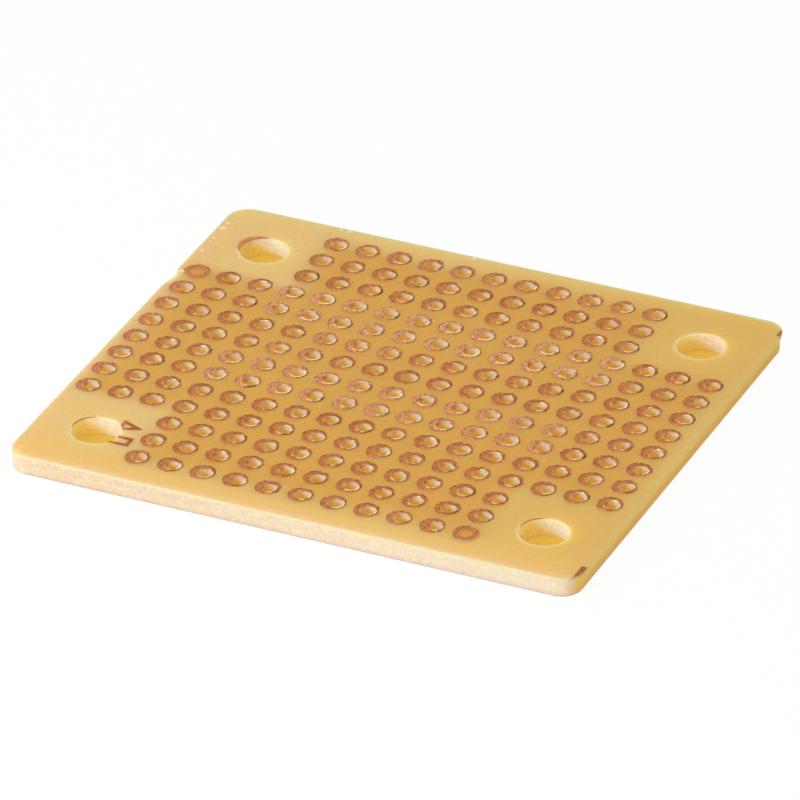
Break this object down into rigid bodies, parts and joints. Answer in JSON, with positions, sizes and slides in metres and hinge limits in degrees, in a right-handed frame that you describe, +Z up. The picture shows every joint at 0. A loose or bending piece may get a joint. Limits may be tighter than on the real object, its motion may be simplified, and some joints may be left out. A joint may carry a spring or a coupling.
{
  "type": "prototype board",
  "caption": "Small one-sided prototyping circuit board: a thin tan laminate sheet with a grid of copper ring pads round lead holes, and a mounting hole near each corner.",
  "frame": {"origin": "centre of the sheet's underside, in the middle of its outline", "axes": "+X to the right along the sheet's length, +Y to the rear along its width, +Z up out of the copper side"},
  "size_m": [0.044, 0.0386, 0.0015],
  "materials": {
    "laminate": "satin tan resin-bonded paper with a glossy resin skin and pale fibrous cut edges",
    "copper": "bare copper foil, lightly tarnished, scuffed bright in places"
  },
  "bodies": {
    "root": {"laminate": "laminate", "pads_row_01": "copper", "pads_row_02": "copper", "pads_row_03": "copper", "pads_row_04": "copper", "pads_row_05": "copper", "pads_row_06": "copper", "pads_row_07": "copper", "pads_row_08": "copper", "pads_row_09": "copper", "pads_row_10": "copper", "pads_row_11": "copper", "pads_row_12": "copper", "pads_row_13": "copper", "pads_row_14": "copper", "ring_rest_rear_left": "copper", "ring_rest_front_left": "copper", "ring_rest_front_right": "copper", "crop_mark_rear_right": "copper", "crop_mark_front_right": "copper", "mark_arrow": "copper", "mark_bar": "copper"}
  },
  "joints": []
}
